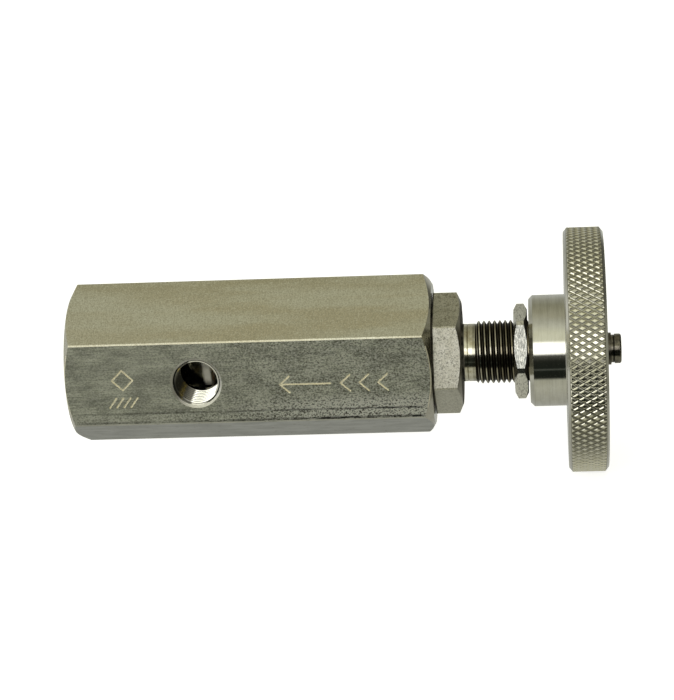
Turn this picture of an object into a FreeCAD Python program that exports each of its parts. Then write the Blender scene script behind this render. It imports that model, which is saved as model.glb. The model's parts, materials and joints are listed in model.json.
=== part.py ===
import FreeCAD, Part
import math
import os
from FreeCAD import Vector

# Pressure relief valve, in millimetres.
# +X runs along the valve from the inlet to the handwheel, +Z is up and the exhaust port faces -Y.
# The origin is the centre of the inlet face. Outlines are rings of (x, radius) points.

ORIGIN = Vector(0, 0, 0)
X_AXIS = Vector(1, 0, 0)
Y_AXIS = Vector(0, 1, 0)
Z_AXIS = Vector(0, 0, 1)
FULL_TURN = 360
HEX_SIDES = 6
ARC_STEPS = 8         # straight pieces in a curved part of an outline
SLIP = 0.05           # radial gap of a running fit
PRESS_GAP = 0.05      # radial gap of a piece that is screwed or pushed home and stays
PAST = 1.0            # how far a cutting tool runs past a face
THREAD_TOOL_PAST = 0.25

# Body: hexagonal bar
BODY_FLATS = 41.0
BODY_LENGTH = 102.5
BODY_EDGE_BREAK = 0.3
INLET_END_RADIUS = 20.2
INLET_END_CHAMFER = 2.0
BONNET_END_RADIUS = 19.83
BONNET_END_CHAMFER = 2.3

# Pipe threads: G3/8 in the inlet, G1/4 in the exhaust, both 55 degree and 19 to the inch
PIPE_PITCH = 1.337
PIPE_FLANK = 27.5
PIPE_ROOT_FLAT = 0.2
INLET_DRILL = 7.625
INLET_MAJOR = 8.33
INLET_DEPTH = 16.0
INLET_THREAD = 14.0
INLET_MOUTH = 8.45
INLET_MOUTH_DEPTH = 0.45
EXHAUST_DRILL = 5.9
EXHAUST_MAJOR = 6.58
EXHAUST_MOUTH = 7.25
EXHAUST_RELIEF = 6.62
EXHAUST_RELIEF_DEPTH = 1.25
EXHAUST_THREAD_FLOOR = 9.5
EXHAUST_X = 37.0

# Bore of the body, from the inlet inwards
PASSAGE_RADIUS = 3.0
SEAT_POCKET_START = 20.0
SEAT_POCKET_RADIUS = 9.0
CHAMBER_START = 28.0
CHAMBER_RADIUS = 9.5
SPRING_ROOM_START = 47.0
SPRING_ROOM_RADIUS = 12.0
BONNET_BORE_START = 88.0
BONNET_BORE_RADIUS = 13.0

# Engraved marks on the port flat: a flow arrow with chevrons, and a diamond over slanted strokes
MARK_DEPTH = 0.25
MARK_WIDTH = 0.5
ARROW_START = 60.4
ARROW_LENGTH = 14.0
MARK_HEIGHT = 4.7
MARK_MIDDLE = -1.0
CHEVRONS = 3
CHEVRON_START = 77.3
CHEVRON_PITCH = 5.2
CHEVRON_REACH = 2.6
STAMP_X = 16.3
STAMP_Z = 1.4
STAMP_REACH = 2.9
HATCH_STROKES = 4
HATCH_PITCH = 2.0
HATCH_TOP = -3.8
HATCH_BOTTOM = -6.5

# Seat and poppet
SEAT_BORE = 2.4
SOFT_SEAT_RADIUS = 5.0
SOFT_SEAT_START = 26.0
SOFT_SEAT_BORE = 2.6
CONE_START = 26.9
CONE_SLOPE = math.tan(math.radians(30))
SEAT_RING_START = 22.0
SEAT_RING_WIDTH = 2.4
SEAT_RING_ROOT = 7.2
RETAINER_END = 30.8
RETAINER_BORE = 6.0
RETAINER_CHAMFER = 1.0
RETAINER_SLOT_WIDTH = 2.5
RETAINER_SLOT_DEPTH = 1.2
POPPET_GAP = 0.1
POPPET_TIP = 1.2
STEM_RADIUS = 4.0
HEAD_START = 32.0
HEAD_FLARE_END = 38.3
HEAD_END = 39.3
HEAD_RADIUS = 7.2
HEAD_CHAMFER = 0.3
STEM_END = 51.6
STEM_RING_START = 45.8
STEM_RING_WIDTH = 1.4
STEM_RING_ROOT = 3.05
GUIDE_START = 43.5
GUIDE_FLANGE = 11.9
GUIDE_END = 50.0
VENT_COUNT = 4
VENT_RADIUS = 1.1
VENT_CIRCLE = 6.8
CIRCLIP_THICKNESS = 1.2
CIRCLIP_GROOVE = 12.6
CIRCLIP_INNER = 10.6
CIRCLIP_GAP = 6.0

# Spring and its plates
BALL_RADIUS = 3.0
BALL_X = 53.0
PLATE_FLANGE = 10.3
PLATE_THICKNESS = 2.5
PLATE_PILOT = 6.8
PLATE_PILOT_LENGTH = 3.0
PLATE_PILOT_CHAMFER = 1.0
PLATE_HUB = 5.5
LOWER_PLATE_START = 54.4
SPRING_START = 58.5
SPRING_LENGTH = 37.0
SPRING_WIRE = 3.4
SPRING_MEAN_RADIUS = 8.8
SPRING_TURNS = 8
SPRING_END = SPRING_START + SPRING_LENGTH

# Bonnet: spigot in the body, hexagon, neck and threaded sleeve
BONNET_FLATS = 30.0
BONNET_PHASE = 43.0
BONNET_HEX_START = 102.65
BONNET_HEX_END = 110.5
BONNET_END_FACE_RADIUS = 14.6
BONNET_CHAMFER = 1.25
BONNET_SPIGOT_START = 88.2
BONNET_CUP_RADIUS = 11.0
BONNET_CUP_FLOOR = 100.0
BONNET_RING_START = 100.2
BONNET_RING_WIDTH = 2.0
BONNET_RING_ROOT = 11.4
NECK_RADIUS = 8.15
NECK_LINE_X = 112.0
NECK_LINE_DEPTH = 0.18
NECK_LINE_WIDTH = 0.35
THREAD_START = 114.3
SLEEVE_END = 136.5
THREAD_CREST = 8.88
THREAD_ROOT = 7.98
THREAD_PITCH = 1.5
THREAD_FLANK = 30.0
THREAD_ROOT_FLAT = 0.18
THREAD_RUN_IN = 0.4
SPINDLE_RADIUS = 5.0

# Lock nut
NUT_FLATS = 24.0
NUT_PHASE = 54.0
NUT_START = 125.2
NUT_END = 129.0
NUT_CORNER_RADIUS = 13.43
NUT_FACE_RADIUS = 11.75
NUT_CHAMFER = 0.9
NUT_BORE = 8.96
NUT_BORE_MOUTH = 9.6

# Handwheel
HUB_START = 129.45
HUB_RADIUS = 15.73
HUB_CHAMFER = 1.1
DISC_START = 139.7
DISC_END = 150.75
DISC_RADIUS = 34.46
RIM_CHAMFER = 1.0
RIM_CHAMFER_HEIGHT = 1.2
HUB_THREAD_END = 137.6
HUB_RELIEF_RADIUS = 9.3
HUB_FLOOR = 148.0
HUB_MOUTH = 9.9

# Spindle and what it carries
SPINDLE_TIP = 97.0
SPINDLE_RING_START = 112.0
SPINDLE_RING_WIDTH = 2.4
BACKUP_WIDTH = 1.3
SPINDLE_RING_ROOT = 3.25
COLLAR_START = 145.0
COLLAR_END = 147.0
COLLAR_RADIUS = 7.0
WASHER_RADIUS = 7.5
JOURNAL_RADIUS = 4.2
SNAP_START = 150.85
SNAP_THICKNESS = 1.5
SNAP_INNER = 3.7
SNAP_OUTER = 4.55
SNAP_GAP = 1.4
END_NECK_RADIUS = 3.95
END_CAP_START = 153.3
SPINDLE_END = 155.2
END_ROUNDING = 0.6


def turned(outline):
    """Solid made by turning a ring of (x, radius) points about the valve axis."""
    points = [Vector(x, radius, 0) for x, radius in outline]
    return Part.Face(Part.makePolygon(points + points[:1])).revolve(ORIGIN, X_AXIS, FULL_TURN)


def rod(start, end, radius):
    return Part.makeCylinder(radius, end - start, Vector(start, 0, 0), X_AXIS)


def tube(start, end, outer, inner):
    return turned([(start, inner), (start, outer), (end, outer), (end, inner)])


def eased(start, end, from_radius, to_radius):
    """Outline points that leave one radius steeply and flow into the next."""
    points = []
    for step in range(ARC_STEPS + 1):
        turn = math.pi / 2 * step / ARC_STEPS
        x = start + (end - start) * (1 - math.cos(turn))
        points.append((x, from_radius + (to_radius - from_radius) * math.sin(turn)))
    return points


def hex_bar(start, end, flats, first_corner, edge_break):
    """Hexagonal bar. first_corner is that corner's angle in degrees, from -Y up towards +Z."""
    reach = flats / 2
    half_face = flats / (2 * math.sqrt(3)) - edge_break
    points = []
    for face in range(HEX_SIDES):
        angle = math.radians(first_corner + FULL_TURN * (face + 0.5) / HEX_SIDES)
        out = Vector(0, -math.cos(angle), math.sin(angle))
        along = Vector(0, math.sin(angle), math.cos(angle))
        for side in (-1, 1):
            points.append(out * reach + along * (side * half_face) + Vector(start, 0, 0))
    profile = Part.Face(Part.makePolygon(points + points[:1]))
    return profile.extrude(Vector(end - start, 0, 0))


def coned(bar, start, end, radius, start_face, start_chamfer, end_face, end_chamfer):
    """Trim a bar's corners to a radius and its ends to cones."""
    return bar.common(turned([
        (start, 0),
        (start, start_face),
        (start + start_chamfer, radius),
        (end - end_chamfer, radius),
        (end, end_face),
        (end, 0),
    ]))


def thread_rings(start, end, crest, root, pitch, flank, root_flat):
    """Grooves of an internal thread, cut outwards from the crest radius."""
    inside = crest - THREAD_TOOL_PAST
    half_root = root_flat / 2
    half_foot = half_root + (root - inside) * math.tan(math.radians(flank))
    rings = []
    for number in range(int((end - start) / pitch)):
        middle = start + pitch * (number + 0.5)
        rings.append(turned([
            (middle - half_foot, inside),
            (middle - half_root, root),
            (middle + half_root, root),
            (middle + half_foot, inside),
        ]))
    return rings


def swept_helix(profile, pitch, length, radius, start):
    """Sweep a closed profile, drawn at (radius, 0, 0), along a right-hand helix about the valve axis."""
    helix = Part.Wire(Part.makeHelix(pitch, length, radius))
    solid = helix.makePipeShell([profile], True, True)
    solid.rotate(ORIGIN, Y_AXIS, 90)
    solid.translate(Vector(start, 0, 0))
    return solid


def helical_groove(start, end, crest, root, pitch, flank, root_flat):
    outside = crest + THREAD_TOOL_PAST
    half_root = root_flat / 2
    half_top = half_root + (outside - root) * math.tan(math.radians(flank))
    points = [
        Vector(root, 0, -half_root),
        Vector(outside, 0, -half_top),
        Vector(outside, 0, half_top),
        Vector(root, 0, half_root),
    ]
    profile = Part.makePolygon(points + points[:1])
    return swept_helix(profile, pitch, end - start, crest, start)


def groove(start, width, root, outer):
    return tube(start, start + width, outer, root)


def o_ring(start, width, root, outer):
    """Round ring that fills a groove from its root to just inside the bore around it."""
    section = (outer - root) / 2
    return Part.makeTorus(root + section, section, Vector(start + width / 2, 0, 0), X_AXIS)


def stroke(x0, z0, x1, z1):
    """Engraving tool for one straight stroke with round ends on the port flat."""
    face = -BODY_FLATS / 2
    radius = MARK_WIDTH / 2
    length = math.hypot(x1 - x0, z1 - z0)
    depth = MARK_DEPTH + PAST
    bar = Part.makeBox(length, depth, MARK_WIDTH, Vector(0, 0, -radius))
    for end in (0, length):
        bar = bar.fuse(Part.makeCylinder(radius, depth, Vector(end, 0, 0), Y_AXIS))
    bar.rotate(ORIGIN, Y_AXIS, -math.degrees(math.atan2(z1 - z0, x1 - x0)))
    bar.translate(Vector(x0, face - PAST, z0))
    return bar


def chevron(tip_x):
    half = MARK_HEIGHT / 2
    arms = []
    for side in (-1, 1):
        arms.append(stroke(tip_x, MARK_MIDDLE, tip_x + CHEVRON_REACH, MARK_MIDDLE + side * half))
    return arms


def flow_arrow():
    tools = chevron(ARROW_START)
    tools.append(stroke(ARROW_START, MARK_MIDDLE, ARROW_START + ARROW_LENGTH, MARK_MIDDLE))
    for number in range(CHEVRONS):
        tools += chevron(CHEVRON_START + CHEVRON_PITCH * number)
    return tools


def stamp():
    """Diamond outline over a row of slanted strokes."""
    corners = [
        (STAMP_X - STAMP_REACH, STAMP_Z),
        (STAMP_X, STAMP_Z + STAMP_REACH),
        (STAMP_X + STAMP_REACH, STAMP_Z),
        (STAMP_X, STAMP_Z - STAMP_REACH),
    ]
    tools = []
    for corner, following in zip(corners, corners[1:] + corners[:1]):
        tools.append(stroke(*corner, *following))
    for number in range(HATCH_STROKES):
        x = STAMP_X + HATCH_PITCH * (number - HATCH_STROKES / 2)
        tools.append(stroke(x, HATCH_BOTTOM, x + HATCH_PITCH, HATCH_TOP))
    return tools


def to_port(shape):
    """Move a feature drawn along +X from the valve axis so that it runs out of the exhaust port."""
    shape.rotate(ORIGIN, Z_AXIS, -90)
    shape.translate(Vector(EXHAUST_X, 0, 0))
    return shape


def valve_body():
    corner = BODY_FLATS / math.sqrt(3)
    bar = hex_bar(0, BODY_LENGTH, BODY_FLATS, 30, BODY_EDGE_BREAK)
    bar = coned(bar, 0, BODY_LENGTH, corner, INLET_END_RADIUS, INLET_END_CHAMFER,
                BONNET_END_RADIUS, BONNET_END_CHAMFER)
    drill_point = INLET_DEPTH + (INLET_DRILL - PASSAGE_RADIUS) * CONE_SLOPE
    bore = turned([
        (-PAST, 0),
        (-PAST, INLET_MOUTH),
        (0, INLET_MOUTH),
        (INLET_MOUTH_DEPTH, INLET_DRILL),
        (INLET_DEPTH, INLET_DRILL),
        (drill_point, PASSAGE_RADIUS),
        (SEAT_POCKET_START, PASSAGE_RADIUS),
        (SEAT_POCKET_START, SEAT_POCKET_RADIUS),
        (CHAMBER_START, SEAT_POCKET_RADIUS),
        (CHAMBER_START, CHAMBER_RADIUS),
        (SPRING_ROOM_START, CHAMBER_RADIUS),
        (SPRING_ROOM_START, SPRING_ROOM_RADIUS),
        (GUIDE_END, SPRING_ROOM_RADIUS),
        (GUIDE_END, CIRCLIP_GROOVE),
        (GUIDE_END + CIRCLIP_THICKNESS, CIRCLIP_GROOVE),
        (GUIDE_END + CIRCLIP_THICKNESS, SPRING_ROOM_RADIUS),
        (BONNET_BORE_START, SPRING_ROOM_RADIUS),
        (BONNET_BORE_START, BONNET_BORE_RADIUS),
        (BODY_LENGTH + PAST, BONNET_BORE_RADIUS),
        (BODY_LENGTH + PAST, 0),
    ])
    face = BODY_FLATS / 2
    port_chamfer = EXHAUST_MOUTH - EXHAUST_RELIEF
    port = turned([
        (0, 0),
        (0, EXHAUST_DRILL),
        (face - EXHAUST_RELIEF_DEPTH, EXHAUST_DRILL),
        (face - EXHAUST_RELIEF_DEPTH, EXHAUST_RELIEF),
        (face - port_chamfer, EXHAUST_RELIEF),
        (face + PAST, EXHAUST_MOUTH + PAST),
        (face + PAST, 0),
    ])
    tools = [bore, to_port(port)]
    tools += thread_rings(PIPE_PITCH / 2, INLET_THREAD, INLET_DRILL, INLET_MAJOR,
                          PIPE_PITCH, PIPE_FLANK, PIPE_ROOT_FLAT)
    for ring in thread_rings(EXHAUST_THREAD_FLOOR, face, EXHAUST_DRILL, EXHAUST_MAJOR,
                             PIPE_PITCH, PIPE_FLANK, PIPE_ROOT_FLAT):
        tools.append(to_port(ring))
    return bar.cut(tools + flow_arrow() + stamp())


def seat_insert():
    outer = SEAT_POCKET_RADIUS - PRESS_GAP
    seat = turned([
        (SEAT_POCKET_START, SEAT_BORE),
        (SEAT_POCKET_START, outer),
        (CHAMBER_START, outer),
        (CHAMBER_START, SOFT_SEAT_RADIUS),
        (SOFT_SEAT_START, SOFT_SEAT_RADIUS),
        (SOFT_SEAT_START, SEAT_BORE),
    ])
    return seat.cut(groove(SEAT_RING_START, SEAT_RING_WIDTH, SEAT_RING_ROOT, outer + PAST))


def soft_seat():
    mouth = SOFT_SEAT_BORE + (CHAMBER_START - CONE_START) * CONE_SLOPE
    return turned([
        (SOFT_SEAT_START, SOFT_SEAT_BORE),
        (SOFT_SEAT_START, SOFT_SEAT_RADIUS),
        (CHAMBER_START, SOFT_SEAT_RADIUS),
        (CHAMBER_START, mouth),
        (CONE_START, SOFT_SEAT_BORE),
    ])


def seat_o_ring():
    return o_ring(SEAT_RING_START, SEAT_RING_WIDTH, SEAT_RING_ROOT, SEAT_POCKET_RADIUS)


def seat_retainer():
    outer = CHAMBER_RADIUS - PRESS_GAP
    ring = turned([
        (CHAMBER_START, RETAINER_BORE),
        (CHAMBER_START, outer),
        (RETAINER_END, outer),
        (RETAINER_END, RETAINER_BORE + RETAINER_CHAMFER),
        (RETAINER_END - RETAINER_CHAMFER, RETAINER_BORE),
    ])
    slot = Part.makeBox(RETAINER_SLOT_DEPTH + PAST, 2 * CHAMBER_RADIUS, RETAINER_SLOT_WIDTH,
                        Vector(RETAINER_END - RETAINER_SLOT_DEPTH, -CHAMBER_RADIUS,
                               -RETAINER_SLOT_WIDTH / 2))
    return ring.cut(slot)


def poppet():
    contact = CONE_START + POPPET_GAP
    tip_x = contact - (SOFT_SEAT_BORE - POPPET_TIP) / CONE_SLOPE
    shoulder = contact + (STEM_RADIUS - SOFT_SEAT_BORE) / CONE_SLOPE
    solid = turned([
        (tip_x, 0),
        (tip_x, POPPET_TIP),
        (shoulder, STEM_RADIUS),
        *eased(HEAD_START, HEAD_FLARE_END, STEM_RADIUS, HEAD_RADIUS),
        (HEAD_END - HEAD_CHAMFER, HEAD_RADIUS),
        (HEAD_END, HEAD_RADIUS - HEAD_CHAMFER),
        (HEAD_END, STEM_RADIUS),
        (STEM_END, STEM_RADIUS),
        (STEM_END, 0),
    ])
    cup = Part.makeSphere(BALL_RADIUS + SLIP, Vector(BALL_X, 0, 0))
    ring = groove(STEM_RING_START, STEM_RING_WIDTH, STEM_RING_ROOT, STEM_RADIUS + PAST)
    return solid.cut([cup, ring])


def poppet_o_ring():
    return o_ring(STEM_RING_START, STEM_RING_WIDTH, STEM_RING_ROOT, STEM_RADIUS + SLIP / 2)


def poppet_guide():
    guide = turned([
        (GUIDE_START, STEM_RADIUS + SLIP),
        (GUIDE_START, CHAMBER_RADIUS - PRESS_GAP),
        (SPRING_ROOM_START, CHAMBER_RADIUS - PRESS_GAP),
        (SPRING_ROOM_START, GUIDE_FLANGE),
        (GUIDE_END, GUIDE_FLANGE),
        (GUIDE_END, STEM_RADIUS + SLIP),
    ])
    vents = []
    for number in range(VENT_COUNT):
        angle = 2 * math.pi * (number + 0.5) / VENT_COUNT
        vent = rod(GUIDE_START - PAST, GUIDE_END + PAST, VENT_RADIUS)
        vent.translate(Vector(0, VENT_CIRCLE * math.cos(angle), VENT_CIRCLE * math.sin(angle)))
        vents.append(vent)
    return guide.cut(vents)


def guide_retaining_ring():
    ring = tube(GUIDE_END, GUIDE_END + CIRCLIP_THICKNESS, CIRCLIP_GROOVE - PRESS_GAP, CIRCLIP_INNER)
    opening = Part.makeBox(CIRCLIP_THICKNESS + 2 * PAST, CIRCLIP_GAP, CIRCLIP_GROOVE + PAST,
                           Vector(GUIDE_END - PAST, -CIRCLIP_GAP / 2, 0))
    return ring.cut(opening)


def thrust_ball():
    return Part.makeSphere(BALL_RADIUS, Vector(BALL_X, 0, 0))


def lower_spring_plate():
    pilot_end = SPRING_START + PLATE_PILOT_LENGTH
    plate = turned([
        (LOWER_PLATE_START, 0),
        (LOWER_PLATE_START, PLATE_HUB),
        (SPRING_START - PLATE_THICKNESS, PLATE_HUB),
        (SPRING_START - PLATE_THICKNESS, PLATE_FLANGE),
        (SPRING_START, PLATE_FLANGE),
        (SPRING_START, PLATE_PILOT),
        (pilot_end - PLATE_PILOT_CHAMFER, PLATE_PILOT),
        (pilot_end, PLATE_PILOT - PLATE_PILOT_CHAMFER),
        (pilot_end, 0),
    ])
    return plate.cut(Part.makeSphere(BALL_RADIUS + SLIP, Vector(BALL_X, 0, 0)))


def spring():
    """Round wire coil with both ends ground flat."""
    pitch = (SPRING_LENGTH - SPRING_WIRE / 2) / SPRING_TURNS
    wire = Part.Wire(Part.makeCircle(SPRING_WIRE / 2, Vector(SPRING_MEAN_RADIUS, 0, 0), Y_AXIS))
    coil = swept_helix(wire, pitch, SPRING_LENGTH, SPRING_MEAN_RADIUS, SPRING_START)
    return coil.common(rod(SPRING_START, SPRING_END, SPRING_MEAN_RADIUS + SPRING_WIRE))


def upper_spring_plate():
    pilot_end = SPRING_END - PLATE_PILOT_LENGTH
    plate_end = SPRING_END + PLATE_THICKNESS
    plate = turned([
        (pilot_end, 0),
        (pilot_end, PLATE_PILOT - PLATE_PILOT_CHAMFER),
        (pilot_end + PLATE_PILOT_CHAMFER, PLATE_PILOT),
        (SPRING_END, PLATE_PILOT),
        (SPRING_END, PLATE_FLANGE),
        (plate_end, PLATE_FLANGE),
        (plate_end, 0),
    ])
    return plate.cut(Part.makeSphere(SPINDLE_RADIUS + SLIP, Vector(SPINDLE_TIP + SPINDLE_RADIUS, 0, 0)))


def bonnet():
    hexagon = hex_bar(BONNET_HEX_START, BONNET_HEX_END, BONNET_FLATS, BONNET_PHASE, BODY_EDGE_BREAK)
    corner = BONNET_FLATS / math.sqrt(3)
    # square against the body, coned towards the handwheel
    hexagon = coned(hexagon, BONNET_HEX_START, BONNET_HEX_END, corner, corner, PAST,
                    BONNET_END_FACE_RADIUS, BONNET_CHAMFER)
    spigot = BONNET_BORE_RADIUS - PRESS_GAP
    lead = THREAD_CREST - NECK_RADIUS
    stem = turned([
        (BONNET_SPIGOT_START, 0),
        (BONNET_SPIGOT_START, spigot),
        (BONNET_HEX_START + PAST, spigot),
        (BONNET_HEX_START + PAST, NECK_RADIUS),
        (NECK_LINE_X, NECK_RADIUS),
        (NECK_LINE_X + NECK_LINE_WIDTH / 2, NECK_RADIUS - NECK_LINE_DEPTH),
        (NECK_LINE_X + NECK_LINE_WIDTH, NECK_RADIUS),
        (THREAD_START, NECK_RADIUS),
        (THREAD_START + lead, THREAD_CREST),
        (SLEEVE_END - lead, THREAD_CREST),
        (SLEEVE_END, NECK_RADIUS),
        (SLEEVE_END, 0),
    ])
    bore = turned([
        (BONNET_SPIGOT_START - PAST, 0),
        (BONNET_SPIGOT_START - PAST, BONNET_CUP_RADIUS),
        (BONNET_CUP_FLOOR, BONNET_CUP_RADIUS),
        (BONNET_CUP_FLOOR, SPINDLE_RADIUS + SLIP),
        (SLEEVE_END + PAST, SPINDLE_RADIUS + SLIP),
        (SLEEVE_END + PAST, 0),
    ])
    ring = groove(BONNET_RING_START, BONNET_RING_WIDTH, BONNET_RING_ROOT, BONNET_BORE_RADIUS + PAST)
    thread = helical_groove(THREAD_START - THREAD_RUN_IN, SLEEVE_END + THREAD_PITCH, THREAD_CREST,
                            THREAD_ROOT, THREAD_PITCH, THREAD_FLANK, THREAD_ROOT_FLAT)
    return hexagon.fuse(stem).cut([bore, ring]).cut(thread)


def bonnet_o_ring():
    return o_ring(BONNET_RING_START, BONNET_RING_WIDTH, BONNET_RING_ROOT, BONNET_BORE_RADIUS)


def lock_nut():
    nut = hex_bar(NUT_START, NUT_END, NUT_FLATS, NUT_PHASE, 0)
    nut = coned(nut, NUT_START, NUT_END, NUT_CORNER_RADIUS, NUT_FACE_RADIUS, NUT_CHAMFER,
                NUT_FACE_RADIUS, NUT_CHAMFER)
    lead = NUT_BORE_MOUTH - NUT_BORE
    return nut.cut(turned([
        (NUT_START - PAST, 0),
        (NUT_START - PAST, NUT_BORE_MOUTH + PAST),
        (NUT_START + lead, NUT_BORE),
        (NUT_END - lead, NUT_BORE),
        (NUT_END + PAST, NUT_BORE_MOUTH + PAST),
        (NUT_END + PAST, 0),
    ]))


def handwheel():
    bore = JOURNAL_RADIUS + SLIP
    mouth = HUB_MOUTH - NUT_BORE
    return turned([
        (HUB_START, HUB_MOUTH),
        (HUB_START, HUB_RADIUS - HUB_CHAMFER),
        (HUB_START + HUB_CHAMFER, HUB_RADIUS),
        (DISC_START, HUB_RADIUS),
        (DISC_START, DISC_RADIUS - RIM_CHAMFER_HEIGHT),
        (DISC_START + RIM_CHAMFER, DISC_RADIUS),
        (DISC_END - RIM_CHAMFER, DISC_RADIUS),
        (DISC_END, DISC_RADIUS - RIM_CHAMFER_HEIGHT),
        (DISC_END, bore),
        (HUB_FLOOR, bore),
        (HUB_FLOOR, HUB_RELIEF_RADIUS),
        (HUB_THREAD_END, HUB_RELIEF_RADIUS),
        (HUB_THREAD_END, NUT_BORE),
        (HUB_START + mouth, NUT_BORE),
    ])


def spindle():
    centre = SPINDLE_TIP + SPINDLE_RADIUS
    ring_width = SPINDLE_RING_WIDTH + BACKUP_WIDTH
    solid = turned([
        (centre, 0),
        (centre, SPINDLE_RADIUS),
        (COLLAR_START, SPINDLE_RADIUS),
        (COLLAR_START, COLLAR_RADIUS),
        (COLLAR_END, COLLAR_RADIUS),
        (COLLAR_END, JOURNAL_RADIUS),
        (SNAP_START, JOURNAL_RADIUS),
        (SNAP_START, SNAP_INNER),
        (SNAP_START + SNAP_THICKNESS, SNAP_INNER),
        (SNAP_START + SNAP_THICKNESS, END_NECK_RADIUS),
        (END_CAP_START, END_NECK_RADIUS),
        (END_CAP_START, JOURNAL_RADIUS),
        *reversed(eased(SPINDLE_END, SPINDLE_END - END_ROUNDING, JOURNAL_RADIUS - END_ROUNDING,
                        JOURNAL_RADIUS)),
        (SPINDLE_END, 0),
    ])
    tip = Part.makeSphere(SPINDLE_RADIUS, Vector(centre, 0, 0))
    ring = groove(SPINDLE_RING_START, ring_width, SPINDLE_RING_ROOT, SPINDLE_RADIUS + PAST)
    return solid.fuse(tip).removeSplitter().cut(ring)


def spindle_o_ring():
    return o_ring(SPINDLE_RING_START, SPINDLE_RING_WIDTH, SPINDLE_RING_ROOT, SPINDLE_RADIUS + SLIP / 2)


def spindle_backup_ring():
    start = SPINDLE_RING_START + SPINDLE_RING_WIDTH
    return tube(start, start + BACKUP_WIDTH, SPINDLE_RADIUS + SLIP / 2, SPINDLE_RING_ROOT)


def thrust_washer():
    return tube(COLLAR_END, HUB_FLOOR, WASHER_RADIUS, JOURNAL_RADIUS + SLIP)


def retaining_ring():
    ring = tube(SNAP_START, SNAP_START + SNAP_THICKNESS, SNAP_OUTER, SNAP_INNER)
    opening = Part.makeBox(SNAP_THICKNESS + 2 * PAST, SNAP_GAP, SNAP_OUTER + PAST,
                           Vector(SNAP_START - PAST, 0, -SNAP_OUTER - PAST))
    return ring.cut(opening)


NODES = (
    valve_body, seat_insert, soft_seat, seat_o_ring, seat_retainer,
    poppet, poppet_o_ring, poppet_guide, guide_retaining_ring, thrust_ball,
    lower_spring_plate, spring, upper_spring_plate,
    bonnet, bonnet_o_ring, lock_nut, handwheel,
    spindle, spindle_o_ring, spindle_backup_ring, thrust_washer, retaining_ring,
)

os.makedirs("parts", exist_ok=True)
for make in NODES:
    shape = make()
    solids = shape.Solids
    if len(solids) == 1:
        shape = solids[0]
    print(make.__name__, len(solids), shape.isValid(), round(shape.Volume, 1))
    shape.exportStep("parts/" + make.__name__ + ".step")
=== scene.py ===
import json
import math

import bmesh
import bpy
from mathutils import Matrix, Vector


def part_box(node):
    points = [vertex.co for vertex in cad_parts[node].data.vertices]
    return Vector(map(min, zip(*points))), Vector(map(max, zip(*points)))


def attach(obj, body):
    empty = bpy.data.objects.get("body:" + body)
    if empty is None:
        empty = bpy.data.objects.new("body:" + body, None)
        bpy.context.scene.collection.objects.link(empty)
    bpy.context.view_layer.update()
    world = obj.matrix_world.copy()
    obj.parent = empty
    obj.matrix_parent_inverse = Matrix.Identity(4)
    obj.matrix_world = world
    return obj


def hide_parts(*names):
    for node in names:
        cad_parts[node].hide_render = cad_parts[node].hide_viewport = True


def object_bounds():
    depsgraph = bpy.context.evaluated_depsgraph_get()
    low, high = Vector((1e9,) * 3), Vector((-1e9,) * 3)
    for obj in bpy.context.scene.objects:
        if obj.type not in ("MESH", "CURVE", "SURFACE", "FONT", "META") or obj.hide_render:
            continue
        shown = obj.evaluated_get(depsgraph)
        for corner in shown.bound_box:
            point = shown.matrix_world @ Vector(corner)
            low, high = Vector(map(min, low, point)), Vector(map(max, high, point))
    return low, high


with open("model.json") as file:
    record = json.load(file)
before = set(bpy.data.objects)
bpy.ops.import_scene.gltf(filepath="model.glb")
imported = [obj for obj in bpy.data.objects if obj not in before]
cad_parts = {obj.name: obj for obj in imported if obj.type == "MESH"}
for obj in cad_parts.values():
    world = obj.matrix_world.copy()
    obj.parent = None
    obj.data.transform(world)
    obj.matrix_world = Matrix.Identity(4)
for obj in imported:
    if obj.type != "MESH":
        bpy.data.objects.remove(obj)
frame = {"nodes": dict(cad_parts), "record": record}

# A pressure relief valve, in metres, in the frame's own axes: +X runs from the inlet to the
# handwheel, +Z is up and the exhaust port faces -Y.

cad_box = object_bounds()
MM = 0.001
LOW, HIGH = 0, 1
X, Y, Z = 0, 1, 2


# ---------------------------------------------------------------- sizes

MOUNTS = {mount["name"]: mount for mount in frame["record"]["mounts"]}
PORT_X = MOUNTS["exhaust"]["pos_m"][X]
PORT_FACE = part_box("valve_body")[LOW][Y]
PORT_RING = 7.4 * MM
PORT_DRILL = MOUNTS["exhaust"]["dims"]["r_mm"] * MM
PORT_CHAMFER = 0.63 * MM
PORT_RELIEF_DEPTH = 1.25 * MM
MARK_DEPTH = 0.25 * MM
MARK_REACH = 9.0 * MM

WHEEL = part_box("handwheel")
HUB_FACE = WHEEL[LOW][X]
DISC_FACE = WHEEL[HIGH][X]
RIM_RADIUS = min(WHEEL[HIGH][Y], WHEEL[HIGH][Z], -WHEEL[LOW][Y], -WHEEL[LOW][Z])
DISC_THICKNESS = 11.05 * MM
DISC_BACK = DISC_FACE - DISC_THICKNESS
HUB_RADIUS = 15.73 * MM
HUB_CHAMFER = 1.1 * MM
HUB_MOUTH = 9.9 * MM
HUB_BORE = 8.96 * MM
HUB_THREAD_DEPTH = 8.15 * MM
HUB_THREAD_END = HUB_FACE + HUB_THREAD_DEPTH
HUB_RELIEF = 9.3 * MM
HUB_FLOOR_THICKNESS = 2.75 * MM
HUB_FLOOR = DISC_FACE - HUB_FLOOR_THICKNESS
JOURNAL_BORE = 4.25 * MM
FACE_STEP = 2 * JOURNAL_BORE
RIM_CHAMFER = 1.0 * MM
RIM_CHAMFER_HEIGHT = 1.2 * MM
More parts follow.
